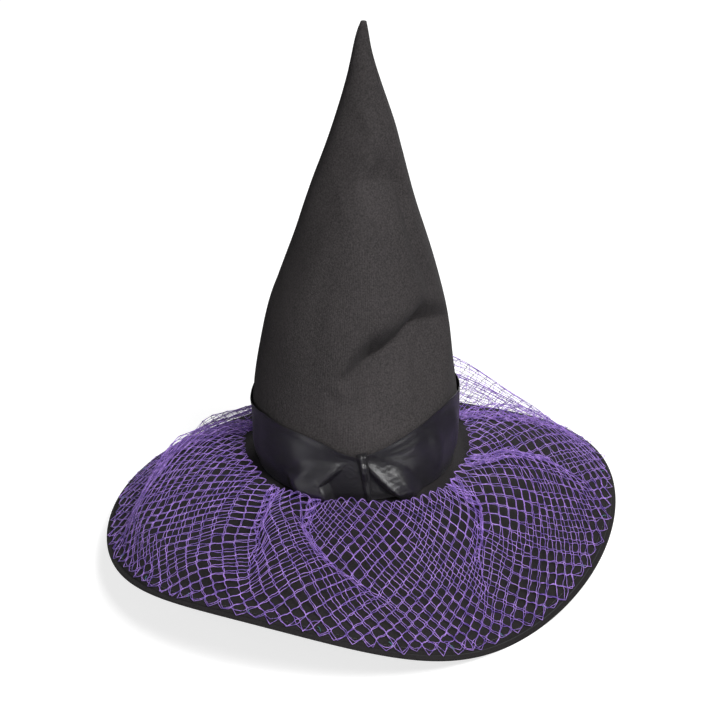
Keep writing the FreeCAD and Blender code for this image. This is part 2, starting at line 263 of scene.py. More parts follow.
def tubes(paths, normals, radius):
    """Points and faces of many closed round threads. paths and normals are (threads, points, 3)."""
    along = unit(np.gradient(paths, axis=1))
    first = unit(np.cross(along, normals))
    second = np.cross(along, first)
    turn = 2 * np.pi * np.arange(THREAD_SIDES) / THREAD_SIDES
    ring = first[:, :, None] * np.cos(turn)[:, None] + second[:, :, None] * np.sin(turn)[:, None]
    points = paths[:, :, None] + radius * ring
    count, length = paths.shape[:2]
    base = np.arange(count) * length * THREAD_SIDES
    faces = (grid_faces(length, THREAD_SIDES, True)[None] + base[:, None, None]).reshape(-1, 4)
    caps = []
    for start in (0, (length - 1) * THREAD_SIDES):
        corners = base[:, None] + start + np.arange(THREAD_SIDES)[None]
        caps += (corners[:, ::-1] if start == 0 else corners).tolist()
    return points.reshape(-1, 3), faces.tolist() + caps


def make_threads(name, paths, normals, radius, material, node):
    """Many round threads as one piece."""
    make_piece(name, *tubes(paths, normals, radius), material, node)


def stitch_run(line, outward, pitch, length, arch):
    """Short arched stitches along a line of points. outward holds the way each point's stitch arches."""
    reach = distances(line)
    shares = np.linspace(0, 1, STITCH_POINTS)
    where = np.arange(0, reach[-1] - length, pitch)[:, None] + shares[None] * length
    paths = along_line(where, reach, line)
    ways = unit(along_line(where, reach, outward))
    paths += ways * (arch * np.sin(np.pi * shares))[None, :, None]
    return paths, ways


# -------- materials


class Nodes:
    """A material's node tree, with short calls for the nodes used here."""

    def __init__(self, name):
        self.material = bpy.data.materials.new(name)
        self.material.use_nodes = True
        self.tree = self.material.node_tree
        self.shader = self.tree.nodes["Principled BSDF"]

    def add(self, kind, inputs=None, **settings):
        """A new node. inputs holds values or other nodes' sockets, by name."""
        node = self.tree.nodes.new(kind)
        for key, value in settings.items():
            setattr(node, key, value)
        for key, value in (inputs or {}).items():
            self.feed(node.inputs[key], value)
        return node

    def feed(self, socket, value):
        if isinstance(value, bpy.types.NodeSocket):
            self.tree.links.new(value, socket)
        else:
            socket.default_value = value

    def place(self):
        """The piece's own coordinates, in metres."""
        return self.add("ShaderNodeTexCoord").outputs["Object"]

    def cloth(self):
        """The piece's cloth coordinates, in mm: X round it and Y across it."""
        uv = self.add("ShaderNodeUVMap").outputs["UV"]
        return self.add("ShaderNodeSeparateXYZ", {"Vector": uv}).outputs

    def maths(self, operation, *values):
        node = self.add("ShaderNodeMath", operation=operation)
        for socket, value in zip(node.inputs, values):
            self.feed(socket, value)
        return node.outputs[0]

    def total(self, *terms, start=0.0):
        """The sum of values, each times its factor, and start."""
        result = start
        for value, factor in terms:
            result = self.maths("MULTIPLY_ADD", value, factor, result)
        return result

    def cords(self, distance, pitch):
        """A wave along a distance, with a crest at every pitch."""
        return self.maths("SINE", self.maths("MULTIPLY", distance, 2 * math.pi / pitch))

    def noise(self, scale, detail, place):
        inputs = {"Scale": scale, "Detail": detail, "Vector": place}
        return self.add("ShaderNodeTexNoise", inputs).outputs["Fac"]

    def mix(self, share, first, second):
        node = self.add("ShaderNodeMix", data_type="RGBA")
        self.feed(node.inputs["Factor"], share)
        self.feed(node.inputs["A"], first)
        self.feed(node.inputs["B"], second)
        return node.outputs["Result"]

    def set(self, **values):
        """Feeds the shader's inputs, whose names have _ for a space."""
        for key, value in values.items():
            self.feed(self.shader.inputs[key.replace("_", " ")], value)

    def bump(self, height, strength, distance):
        node = self.add("ShaderNodeBump", {"Height": height, "Strength": strength, "Distance": distance})
        self.feed(self.shader.inputs["Normal"], node.outputs["Normal"])


def linear(red, green, blue):
    """A screen colour, each part from 0 to 255, as a linear colour."""
    parts = [part / 255 for part in (red, green, blue)]
    return [p / 12.92 if p <= 0.04045 else ((p + 0.055) / 1.055) ** 2.4 for p in parts] + [1.0]


def grey(strength):
    """A linear grey."""
    return [strength, strength, strength, 1.0]


def cloth_material(name, dark, light, pitch, slant, roughness):
    """Matt woven cloth: threads pitch apart, soft patches of tone, a fine grain and a faint fuzz."""
    nodes = Nodes(name)
    across, up, _ = nodes.cloth()
    slanted = nodes.total((up, slant), start=across)
    threads = nodes.maths("MULTIPLY", nodes.cords(slanted, pitch), nodes.cords(up, pitch))
    patches = nodes.noise(18.0, 4.0, nodes.place())
    grain = nodes.noise(650.0, 3.0, nodes.place())
    tone = nodes.total((patches, 0.5), (threads, 0.1), (grain, 2.6), start=-1.05)
    nodes.set(Base_Color=nodes.mix(tone, dark, light), Roughness=roughness)
    nodes.set(Sheen_Weight=0.02, Sheen_Roughness=0.5, Specular_IOR_Level=0.25)
    nodes.bump(nodes.total((grain, 1.2), start=threads), 0.5, 0.00025)
    return nodes.material


def satin_material(name, colour):
    """Woven satin: a soft, strong shine over fine cords and small slack patches."""
    nodes = Nodes(name)
    cords = nodes.cords(nodes.cloth()["Y"], 0.5)
    place = nodes.place()
    patches = nodes.noise(60.0, 3.0, place)
    grain = nodes.noise(1600.0, 2.0, place)
    tone = nodes.total((patches, 0.3), (grain, 0.4))
    light = [min(1.0, part * 1.4) for part in colour[:3]] + [1.0]
    nodes.set(Base_Color=nodes.mix(tone, colour, light), Roughness=nodes.total((grain, 0.1), start=0.27))
    nodes.set(Specular_IOR_Level=0.75, Anisotropic=0.5, Sheen_Weight=0.02)
    nodes.bump(nodes.total((cords, 0.3), (patches, 2.0)), 0.35, 0.0006)
    return nodes.material


def thread_material(name, dark, light, roughness):
    """Spun thread: a tone that wanders along it between its dark and light colours, and a fine twist. The
    net's light colour is a painted highlight, so on the net the patches of it are painted glints of lit
    thread.
    """
    nodes = Nodes(name)
    place = nodes.place()
    # Patches of tone. On the net their light end is painted glint on lit threads; on the other threads it is
    # the thread's own uneven tone.
    patches = nodes.noise(170.0, 3.0, place)
    tone = nodes.add("ShaderNodeMapRange", {"Value": patches, "From Min": 0.36, "From Max": 0.66})
    twist = nodes.noise(2600.0, 2.0, place)
    tone = nodes.total((tone.outputs["Result"], 0.7), (twist, 0.3))
    nodes.set(Base_Color=nodes.mix(tone, dark, light), Roughness=roughness, Sheen_Weight=0.15)
    nodes.bump(twist, 0.5, 0.0002)
    return nodes.material


def felt_material(name, dark, light):
    """Pressed non-woven cloth: random fibres and small bonded dots."""
    nodes = Nodes(name)
    place = nodes.place()
    fibres = {"Vector": place, "Scale": 420.0, "Detail": 6.0, "Distortion": 2.5}
    fibres = nodes.add("ShaderNodeTexNoise", fibres).outputs["Fac"]
    dots = nodes.add("ShaderNodeTexVoronoi", {"Vector": place, "Scale": 380.0}).outputs["Distance"]
    tone = nodes.total((fibres, 0.8), (dots, 0.3))
    nodes.set(Base_Color=nodes.mix(tone, dark, light), Roughness=0.95, Specular_IOR_Level=0.15)
    nodes.bump(tone, 0.6, 0.0005)
    return nodes.material


def ribbed_material(name, dark, light, pitch):
    """Ribbed tape: cords pitch apart that run across the tape's width."""
    nodes = Nodes(name)
    ribs = nodes.cords(nodes.cloth()["X"], pitch)
    grain = nodes.noise(1500.0, 2.0, nodes.place())
    nodes.set(Base_Color=nodes.mix(nodes.total((ribs, 0.25), start=grain), dark, light), Roughness=0.7)
    nodes.bump(nodes.total((grain, 0.5), start=ribs), 0.6, 0.0004)
    return nodes.material


def steel_material(name):
    """Drawn steel wire: fine scratches and small dull patches."""
    nodes = Nodes(name)
    place = nodes.place()
    patches = nodes.noise(90.0, 4.0, place)
    nodes.set(Base_Color=nodes.mix(patches, [0.3, 0.3, 0.31, 1.0], [0.5, 0.5, 0.51, 1.0]), Metallic=1.0)
    nodes.set(Roughness=nodes.total((patches, 0.2), start=0.3))
    nodes.bump(nodes.noise(2200.0, 2.0, place), 0.2, 0.0001)
    return nodes.material


def plastic_material(name):
    """Moulded plastic: near black, with a fine spark-eroded grain."""
    nodes = Nodes(name)
    grain = nodes.noise(1800.0, 3.0, nodes.place())
    nodes.set(Base_Color=nodes.mix(grain, grey(0.02), grey(0.05)), Roughness=0.55)
    nodes.bump(grain, 0.3, 0.0001)
    return nodes.material


CROWN_CLOTH = cloth_material("crown_cloth", linear(37, 35, 35), linear(60, 56, 57), 1.5, 1.0, 0.85)
BRIM_CLOTH = cloth_material("brim_cloth", linear(22, 20, 21), linear(35, 32, 33), 0.9, 0.0, 0.88)
SATIN = satin_material("black_satin", linear(15, 14, 17))
# The net thread's pale lilac light colour is a painted highlight: its patches stand in for glints where light
# falls on the threads. The deep violet is the thread's own colour.
NET_THREAD_PAINTED_GLINTS = thread_material("purple_net", linear(56, 8, 134), linear(196, 154, 246), 0.3)
BLACK_THREAD = thread_material("black_thread", linear(18, 18, 19), linear(44, 43, 45), 0.6)
TEAL_THREAD = thread_material("teal_thread", linear(30, 88, 96), linear(70, 140, 148), 0.5)
INTERFACING = felt_material("interfacing", linear(34, 34, 36), linear(66, 66, 68))
SWEATBAND_TAPE = ribbed_material("sweatband_tape", linear(22, 22, 23), linear(46, 46, 48), 1.1)
LABEL_SATIN = ribbed_material("label_satin", linear(196, 194, 190), linear(228, 226, 222), 0.45)
HAT_WIRE = steel_material("hat_wire")
JOINER_PLASTIC = plastic_material("joiner_plastic")


# -------- the crown


def arc_place(turn, height):
    """A place on the unrolled crown, in mm: the distance round from the front, and the height."""
    return np.radians(turn) * crown_radius(height), height


def line_distance(turn, height, line):
    """Distance from crown places to a line, its sign (above is positive) and the share run along it."""
    x, y = arc_place(turn, height)
    best = np.full(np.shape(x), 1e9)
    side = np.zeros(np.shape(x))
    along = np.zeros(np.shape(x))
    corners = [arc_place(*place) for place in line]
    for i, (start, end) in enumerate(zip(corners, corners[1:])):
        dx, dy = end[0] - start[0], end[1] - start[1]
        px, py = x - start[0], y - start[1]
        share = np.clip((px * dx + py * dy) / (dx * dx + dy * dy), 0, 1)
        distance = np.hypot(px - share * dx, py - share * dy)
        closer = distance < best
        best = np.where(closer, distance, best)
        side = np.where(closer, np.sign(dx * py - dy * px) * (-1 if dx < 0 else 1), side)
        along = np.where(closer, (i + share) / (len(corners) - 1), along)
    return best, side, along


def rounded_line(value, places):
    """The second coordinate of a line of places at a value of the first. The line's corners are rounded."""
    first, second = np.array(places, float).T
    fine = np.linspace(first.min(), first.max(), LINE_POINTS)
    line = np.interp(fine, first, second)
    return np.interp(value, fine, blurred(line, LINE_ROUNDING, mode="reflect", reflect_type="odd"))


def crease(offset, depth, above, below, sharp):
    """The section of a pressed fold: a valley (negative depth) or ridge with two straight sides."""
    width = np.where(offset > 0, above, below)
    distance = (np.sqrt(offset**2 + sharp**2) - sharp) / width
    return depth * CREASE_EASING * np.log1p(np.exp((1 - distance) / CREASE_EASING))


def between(value, low, high, ends):
    """1 from low to high, easing to 0 over the two ends."""
    return smooth_step(value, low, low + ends[0]) * (1 - smooth_step(value, high - ends[1], high))


def level_crease(turn, height, line, depth, above, below, sharp, ends):
    """A crease that runs round the crown along a line of (turn, height) places. It narrows at its ends."""
    rise = rounded_line(turn + 1, line) - rounded_line(turn - 1, line)
    slope = rise / (2 * np.radians(1) * crown_radius(height))
    strength = between(turn, line[0][0], line[-1][0], ends)
    spread = 0.15 + 0.85 * strength
    offset = (height - rounded_line(turn, line)) / np.sqrt(1 + slope**2)
    return crease(offset, depth * strength, above * spread, below * spread, sharp)


def upright_crease(turn, height, line, depth, right, left, sharp, ends):
    """A crease that runs up the crown along a line of (turn, height) places, lowest first."""
    middle = rounded_line(height, [place[::-1] for place in line])
    strength = between(height, line[0][1], line[-1][1], ends)
    return crease(np.radians(turn - middle) * crown_radius(height), depth * strength, right, left, sharp)


def soft(turn, height, line, depth, width):
    """A soft valley (negative depth) or ridge (positive) along a line."""
    distance, _, along = line_distance(turn, height, line)
    ends = np.sin(np.pi * np.clip(along, 0.04, 0.96)) ** 0.5
    return depth * bell(distance, 0, width) * ends


# Rows of points up the crown, and points in each row.
CROWN_MESH = (190, 216)
LINING_MESH = (120, 144)

LINE_POINTS = 241
LINE_ROUNDING = 25
CREASE_EASING = 0.15
SEAM_TURN = 65.0
SEAM_GROOVE = 0.8
SEAM_EDGES = 0.35
TIP_RADIUS = 0.4

# The crown is smooth up to FOLDS_START, and its folds fade out over these heights at either end.
FOLDS_START = 40.0
FOLDS_EASE = 40.0
TIP_FADE = 60.0
MAIN_DENT = [
    (-15, 122), (-6, 126), (3, 130), (17, 134), (28, 138), (44, 146), (57, 153), (72, 156), (92, 148),
]

# Creases that run round the crown. Each has its line of (turn, height), its depth (negative sinks in), its
# widths above and below, how rounded its middle is, and how many degrees its two ends take to fade out.
LEVEL_CREASES = [
    (MAIN_DENT, -33.0, 32.0, 72.0, 1.0, (27, 40)),
    ([(-12, 124), (-6, 114), (0, 104), (6, 95)], 2.0, 16.0, 6.0, 1.0, (3, 9)),
    ([(-20, 112), (-11, 102), (-2, 92), (5, 86)], -2.5, 8.0, 16.0, 3.0, (8, 8)),
    ([(-12, 300), (12, 298), (37, 297), (58, 290), (74, 287)], -8.5, 24.0, 44.0, 1.0, (50, 14)),
    ([(140, 215), (165, 190), (190, 178), (225, 196)], -7.0, 20.0, 34.0, 2.0, (25, 25)),
]

# Creases that run up the crown: as above, with widths to the right and left and ends in mm.
UPRIGHT_CREASES = [
    ([(28, 70), (36, 96), (42, 118), (52, 138), (66, 156)], 2.6, 10.0, 24.0, 2.0, (25, 12)),
    ([(72, 168), (68, 178), (62, 210), (55, 232), (59, 262), (67, 288)], -4.0, 15.0, 10.0, 1.5, (25, 15)),
]

# Soft folds of the crown: the line, the depth and the width.
SOFT_FOLDS = [
    ([(16, 345), (-8, 340), (-38, 296), (-52, 243), (-76, 185)], -4.6, 19.0),
    ([(-32, 284), (-8, 298), (20, 304), (42, 300)], -5.0, 23.0),
    ([(-10, 268), (-21, 247), (-29, 186), (-28, 131), (-22, 100)], -1.5, 12.0),
    ([(-4, 262), (2, 222), (4, 196)], 2.0, 18.0),
    ([(-10, 380), (36, 357)], -1.4, 9.0),
    ([(130, 330), (165, 270), (200, 262)], -3.0, 16.0),
    ([(225, 250), (250, 170), (240, 110)], -2.5, 18.0),
]


def crown_relief(turn, height):
    """How far the cloth stands out of (or, when negative, falls into) the smooth cone, in mm."""
    relief = sum(level_crease(turn, height, *each) for each in LEVEL_CREASES)
    relief += sum(upright_crease(turn, height, *each) for each in UPRIGHT_CREASES)
    relief += sum(soft(turn, height, *each) for each in SOFT_FOLDS)
    waves = np.sin(np.radians(turn) * 3 + height / 37.0) * np.sin(height / 23.0 + 1.3)
    waves += 0.6 * np.sin(np.radians(turn) * 5 - height / 29.0)
    hem = np.clip((height - FOLDS_START) / FOLDS_EASE, 0, 1)
    tip = np.clip((CROWN_TOP - height) / TIP_FADE, 0, 1)
    return (relief + 0.45 * waves) * hem * tip


def seam_groove(turn, height):
    """The narrow groove of the upright seam, between its two pressed edges."""
    away = np.abs((turn - SEAM_TURN + 180) % 360 - 180)
    distance = np.radians(away) * crown_radius(height)
    return SEAM_EDGES * bell(distance, 1.6, 1.2) - SEAM_GROOVE * bell(distance, 0, 0.8)


def crown_surface(turn, height, out):
    """Points on the crown's cloth, out mm outside it. turn is in degrees."""
    around = (turn + 90) % 360 - 90
    relief = crown_relief(around, height) + seam_groove(turn, height)
    radius = np.maximum(crown_radius(height) + relief + out, TIP_RADIUS)
    return polar(radius, np.radians(turn - 90), height, crown_lean(height))


def crown_grid(low, high, rows, columns, out):
    """A grid of points all round the crown between two heights, out mm outside its cloth."""
    height = np.linspace(low, high, rows)[:, None]
    turn = np.linspace(-90, 270, columns, endpoint=False)[None, :]
    turn, height = np.broadcast_arrays(turn, height)
    return crown_surface(turn, height, out)


def close_tip(points, faces, rows, columns):
    """Closes a ring-shaped sheet's two upper rims, each with a fan to one point."""
    half = rows * columns
    top = half - columns
    faces = [face for face in faces if not (min(face) >= top and min(face) < half and max(face) >= half)]
    tips = [points[top:half].mean(axis=0) + [0, 0, 0.6], points[half + top :].mean(axis=0)]
    column = np.arange(columns)
    after = (column + 1) % columns
    for start, tip, flip in ((top, 2 * half, False), (half + top, 2 * half + 1, True)):
        fan = np.stack([start + column, start + after, np.full(columns, tip)], axis=-1)
        faces += (fan[:, ::-1] if flip else fan).tolist()
    return np.concatenate([points, tips]), faces


def make_crown():
    """The outer cone of cloth, closed at its rounded tip."""
    front = crown_grid(0.3, CROWN_TOP - 0.6, *CROWN_MESH, -0.05)
    back = crown_grid(0.3, CROWN_TOP - 2.6, *CROWN_MESH, -CLOTH)
    points, faces = close_tip(*closed_sheet(front, back), *CROWN_MESH)
    uv = sheet_uv(front)
    uv = np.concatenate([uv, uv[-2:]])
    make_piece("crown_cloth_cone", points, faces, CROWN_CLOTH, "crown_shell", uv)


def make_interfacing():
    """The stiff lining that follows every dent of the cone from inside."""
    low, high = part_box("crown_interfacing")
    front, back = (crown_grid(low.z / MM, high.z / MM, *LINING_MESH, out) for out in (-0.75, -1.4))
    make_cloth("crown_lining", front, back, INTERFACING, "crown_interfacing")


# -------- the hatband

# The ribbon's upper edge as (turn, height). It dips in at the keeper.
RIBBON_TOP = [
    (-90, 60), (-75, 66), (-58, 70.5), (-45, 69.5), (-29, 68), (-18, 63.5), (-8, 55.5), (0, 51.2),
    (7, 53.6), (13, 57.3), (21, 63), (33, 70.8), (50, 79), (65, 81), (77, 78), (90, 74),
    (120, 70), (180, 70), (240, 68), (270, 60),
]
TOP_POINTS = 721
TOP_ROUNDING = 4
RIBBON_BOTTOM = 1.6
RIBBON_MESH = (64, 600)
KEEPER_MESH = (70, 25)

# How much of the keeper turns in at either end, as a share of the part that is seen.
KEEPER_TURN = 0.05
FLARE_HEIGHTS = (0.0, 20.0, 45.0)

# The ribbon's two flares beside the keeper: the turns of their sides at each of FLARE_HEIGHTS, and how far
# they stand out at the bottom.
FLARES = [
    ((25, 15, 4), (32, 25, 13), 13.5),
    ((-13, -17, -6), (-29, -32, -17), 13.5),
]

# Folds of the ribbon: the line of (turn, height), the size, and the widths above and below.
RIBBON_FOLDS = [
    ([(5, 46), (15, 20), (24, 4)], 1.4, 4.0, 3.0),
    ([(-4, 46), (-18, 22), (-13, 4)], 1.4, 4.0, 3.0),
    ([(8, 50), (24, 50), (42, 58)], 1.6, 7.0, 9.0),
    ([(-22, 40), (-40, 30), (-62, 24)], 1.2, 12.0, 10.0),
    ([(44, 66), (52, 40), (56, 8)], 2.4, 9.0, 8.0),
    ([(66, 70), (74, 40), (78, 8)], 1.8, 8.0, 9.0),
    ([(-70, 60), (-76, 30), (-74, 6)], 1.8, 9.0, 9.0),
]


def ribbon_top(turn):
    """The height of the ribbon's upper edge."""
    fine = np.linspace(-90, 270, TOP_POINTS)
    edge = blurred(np.interp(fine, *np.array(RIBBON_TOP).T), TOP_ROUNDING, mode="wrap")
    return np.interp((turn + 90) % 360 - 90, fine, edge)


def fold(turn, height, line, size, above, below):
    """A fold of ribbon along a line of places, with its own width on either side."""
    distance, side, along = line_distance(turn, height, line)
    width = np.where(side > 0, above, below)
    ends = smooth_step(along, -0.05, 0.3) * (1 - smooth_step(along, 0.75, 1.05))
    return size * bell(distance, 0, width) * (0.1 + 0.9 * ends)


def pinched_flare(turn, height, inner, outer, flare):
    """The ribbon's slope on one side of the keeper, between two lines: it leans out downwards."""
    start = np.interp(height, FLARE_HEIGHTS, inner)
    end = np.interp(height, FLARE_HEIGHTS, outer)
    way = np.sign(outer[0] - inner[0])
    inside = smooth_step((turn - start) * way, -2.2, 2.2)
    outside = smooth_step((turn - end) * way, 0.0, 12.0)
    return flare * (1 - np.clip((height - 4) / (FLARE_HEIGHTS[-1] - 4), 0, 1)) * inside * (1 - outside)


def ribbon_folds(turn, height):
    """How far the ribbon stands off the crown: tucks that spread from the keeper, and slack further round."""
    around = (turn + 90) % 360 - 90
    folds = sum(pinched_flare(around, height, *each) for each in FLARES)
    folds += sum(fold(around, height, *each) for each in RIBBON_FOLDS)
    crinkles = 0.1 * np.sin(height * 1.1 + around * 0.35) * np.sin(around * 0.9 + 1.0) * bell(around, 8, 22)
    slack = 1 + np.sin(np.radians(turn) * 4 + 0.7) * np.sin(height / 9.0)
    return folds + crinkles + 0.5 * slack


def ribbon_surface(turn, share, out):
    """Points on the ribbon, out mm from its middle. share runs from its lower to its upper edge."""
    height = RIBBON_BOTTOM + share * (ribbon_top(turn) - RIBBON_BOTTOM)
    top_edge, bottom_edge = bell(share, 1, 0.08), bell(share, 0, 0.1)
    lift = 1.0 + ribbon_folds(turn, height) * (1 - 0.75 * top_edge - 0.4 * bottom_edge) + 1.5 * top_edge
    relief = np.maximum(crown_relief((turn + 90) % 360 - 90, height), 0)
    radius = crown_radius(height) + relief + lift + out
    return polar(radius, np.radians(turn - 90), height, crown_lean(height))


def make_ribbon():
    """The satin ribbon with its folds."""
    rows, columns = RIBBON_MESH
    share = np.linspace(0, 1, rows)[:, None]
    turn = np.linspace(-90, 270, columns, endpoint=False)[None, :]
    turn, share = np.broadcast_arrays(turn, share)
    front, back = (ribbon_surface(turn, share, out) for out in (0.2, -0.2))
    make_cloth("hatband_satin", front, back, SATIN, "hatband_ribbon")


def make_keeper():
    """The strip over the ribbon's join: it leans, narrows downwards and turns in at its two ends."""
    rows, columns = KEEPER_MESH
    up, across = np.meshgrid(np.linspace(0, 1, rows), np.linspace(-1, 1, columns), indexing="ij")
    middle = 12.5 - 7.0 * up
    half = 3.0 + 1.6 * up
    turn = np.degrees(np.arcsin((middle + half * across) / crown_radius(25.0)))
    run = (1 + 2 * KEEPER_TURN) * up - KEEPER_TURN
    past_top, past_bottom = np.maximum(run - 1, 0), np.maximum(-run, 0)
    front = ribbon_surface(turn, np.clip(run, 0, 1), 0.0)
    way = unit(front * [1, 1, 0])
    bulge = 1.2 + 5.0 * bell(up, 0.7, 0.2) + 0.8 * bell(up, 0.25, 0.15)
    crimp = 0.35 * np.cos(across * 6.0 + 1.0 + 2.0 * up) + 0.5 * bell(across, 0.5 - 0.8 * up, 0.2)
    out = 0.5 + bulge * (1 - across**4) * (0.6 + 0.4 * (1 - across**2)) + crimp * (1 - across**2)
    front = front + way * (out - 90.0 * (past_top + past_bottom))[..., None]
    front[..., 2] += 30.0 * past_top - 20.0 * past_bottom
    back = front - way * 0.4
    make_cloth("hatband_keeper_satin", front, back, SATIN, "hatband_keeper", wrap=False)


# -------- the brim

# How far out the brim's two cloths reach, as a share of the brim.
PANEL_SHARE = 0.9825

# Places round the brim, and rows of points across each of its cloths.
BRIM_COLUMNS = 480
TOP_ROWS = 60
UNDERSIDE_ROWS = 50
HEM_COLUMNS = 720

# The heights of the rows of the top cloth's edge that turns up inside the crown.
TURNED_UP = (9.5, 7.0, 4.5, 2.0)


def brim_undulation(angle, share):
    """Small soft waves of the brim's cloth, never below the flat panel."""
    waves = np.sin(7 * angle + 4 * share) + np.sin(3 * angle + 9 * share)
    waves += np.sin(11 * angle - 6 * share + 1.0)
    return (waves + 3) * 0.16 * np.sin(np.pi * np.clip(share, 0, 1)) ** 0.5


def brim_grid(shares):
    """Angles and shares of a grid of places over the whole brim."""
    return np.meshgrid(shares, full_turn(BRIM_COLUMNS), indexing="ij")[::-1]


def make_brim_top():
    """The upper cloth of the brim. Its inner edge turns up inside the crown."""
    angle, share = brim_grid(np.append(0.0, np.linspace(0.003, PANEL_SHARE, TOP_ROWS)))
    flat = brim_point(angle, share, brim_undulation(angle, share))
    turned = [flat[0] * [1, 1, 0] + [0, 0, height] for height in TURNED_UP]
    front = np.concatenate([turned, flat])
    back = front + [0, 0, -CLOTH]
    corner = len(TURNED_UP)
    outward = polar(1.0, angle[0], 0.0)
    back[: corner + 1] = front[: corner + 1] + outward * CLOTH
    back[corner, :, 2] -= CLOTH
    points, faces = closed_sheet(front, back)
    faces = [face[::-1] for face in faces]
    make_piece("brim_top_cloth", points, faces, BRIM_CLOTH, "brim_top_panel", sheet_uv(front))


def make_brim_underside():
    """The lower cloth of the brim."""
    angle, share = brim_grid(np.linspace(0.003, PANEL_SHARE, UNDERSIDE_ROWS))
    front = brim_point(angle, share, -BRIM_LAYERS - 0.3 * brim_undulation(angle + 1, share))
    back = front + [0, 0, CLOTH]
    make_cloth("brim_underside_cloth", front, back, BRIM_CLOTH, "brim_underside_panel")


def hem_outline():
    """The hem's section as (outward, upward) places round the wire: a flat C, open towards the crown."""
    bend = np.radians(np.arange(-80, 81, 20))
    bend = np.stack([0.1 + 1.75 * np.cos(bend), 1.12 * np.sin(bend)], axis=-1).tolist()
    outer = [(-2.9, -1.1), (-1.4, -1.12), *bend, (-1.4, 1.12), (-2.9, 1.1)]
    inner = [(-2.9, 0.8), (-1.0, 0.9), (0.6, 0.82), (1.3, 0.4), (1.45, 0.0)]
    return outer + inner + [(x, -y) for x, y in inner[-2::-1]]


def make_edge_casing():
    """The brim's hem: cloth turned round the wire, flush with the brim's two cloths."""
    angle = full_turn(HEM_COLUMNS)
    middle = brim_point(angle, 1.0, -BRIM_LAYERS / 2)
    out = unit(middle - brim_point(angle, 0.97, -BRIM_LAYERS / 2))
    up = unit(np.array([0, 0, 1.0]) - out * out[:, 2:3])
    pucker = 1 + 0.03 * np.sin(angle * 190) + 0.03 * np.sin(angle * 57 + 1)
    grid = np.array([middle + out * x + up * (y * pucker)[:, None] for x, y in hem_outline()])
    rows, columns = grid.shape[:2]
    ring = np.arange(rows * columns).reshape(rows, columns)
    after, below = np.roll(ring, -1, axis=1), np.roll(ring, -1, axis=0)
    faces = np.stack([ring, after, np.roll(below, -1, axis=1), below], axis=-1).reshape(-1, 4).tolist()
    uv = sheet_uv(grid)[: rows * columns]
    make_piece("brim_edge_hem", grid.reshape(-1, 3), faces, BRIM_CLOTH, "brim_edge_casing", uv)


# -------- the net veil

# Cells round the net, the length of a cell's side, and the width of the cells at its inner and outer edges.
CELLS = 100
CELL_SIDE = 10.4
INNER_CELL = 10.5
OUTER_CELL = 15.4
HALF_ROWS = 20

# The threads' radius, a knot's length, and how far each of its two threads is set off, up and sideways.
THREAD = 0.27
KNOT = 1.6
KNOT_LIFT = 0.2
KNOT_SIDE = 0.24
THREAD_STEPS = 3
NET_OFF_RIBBON = 1.0
NET_OFF_BRIM = 1.3
NET_WAVES = 14
NET_WAVE_SIZE = 0.5
NET_OUTER_SHARE = 0.982
STITCH_SHARE = 163.0 / BRIM_REACH
SHEET_STEPS = 61
LAYING_ROUNDS = 6

# Each pleat: the angles of its line at even steps across the net from its inner edge, its size and its side.
PLEATS = [
    ((-136, -128, -120, -117, -117), 1.0, 1),
    ((-112, -109, -98, -79, -72), 1.0, 1),
    ((-31, -31, -47, -51, -52), 1.1, -1),
    ((-11, 4, 6, 1, -4), 1.1, 1),
    ((38, 36, 33, 30, 28), 0.9, -1),
    ((78, 76, 74, 72, 70), 1.0, 1),
    ((112, 112, 110, 108, 107), 1.0, 1),
    ((150, 150, 152, 155, 158), 1.0, -1),
]
PLEAT_FLAP = 10.5
PLEAT_LIP = 6.0
PLEAT_BASE = 3.5
PLEAT_POINTS = 40
PUFF_POINTS = 60

# The radius of the net's inner edge and its width, for the pleats' sizes, and the arc of a full-height puff.
NET_RADIUS = 108.0
NET_WIDTH = 130.0
FULL_PUFF = 90.0

# The net's greatest height over the brim, by angle.
PUFFS = [
    (-180, 34), (-164, 30), (-153, 27), (-135, 25), (-120, 22), (-90, 17), (-60, 18), (-30, 21),
    (0, 22), (30, 29), (45, 48), (58, 60), (70, 54), (88, 26), (105, 13), (125, 11),
    (138, 16), (150, 40), (167, 40), (180, 34),
]

# Where the crest of the puff on the wearer's right side stands: angle, and share of the net's width.
CREST = [
    (150, 0.6), (167, 0.6), (175, 0.67), (183, 0.72), (196, 0.83), (207, 0.86), (231, 0.82), (262, 0.8),
]


def puff_height(angle):
    """The greatest height of the net over the brim in a direction."""
    return np.interp((np.degrees(angle) + 180) % 360 - 180, *np.array(PUFFS).T)


def pleat_angle(line, share):
    """The angle of a pleat's line at a share of the net's width."""
    return np.interp(share, np.linspace(0, 1, len(line)), line)


def puff_profile(angle, share):
    """A puff's rise across the net's width: a dome, or on the wearer's right side a steep shoulder."""
    dome = np.sin(np.pi * (0.2 + 0.8 * share))
    degrees = np.degrees(angle) % 360
    crest = np.interp(degrees, *np.array(CREST).T)
    shoulder = 0.55 + 0.45 * np.sin(np.pi / 2 * np.minimum(share / 0.5, 1))
    shoulder *= 1 - smooth_step(share, crest - 0.06, np.minimum(crest + 0.14, 0.97))
    weight = smooth_step(degrees, 135, 152) * (1 - smooth_step(degrees, 250, 270))
    return dome * (1 - weight) + shoulder * weight


def inner_radius(angle):
    """The radius of the net's folded inner edge: nearest to the crown at the front."""
    return 108.5 + 4.5 * np.sin(angle) + 1.8 * np.sin(5 * angle + 1.0) + 0.9 * np.sin(11 * angle + 2.0)


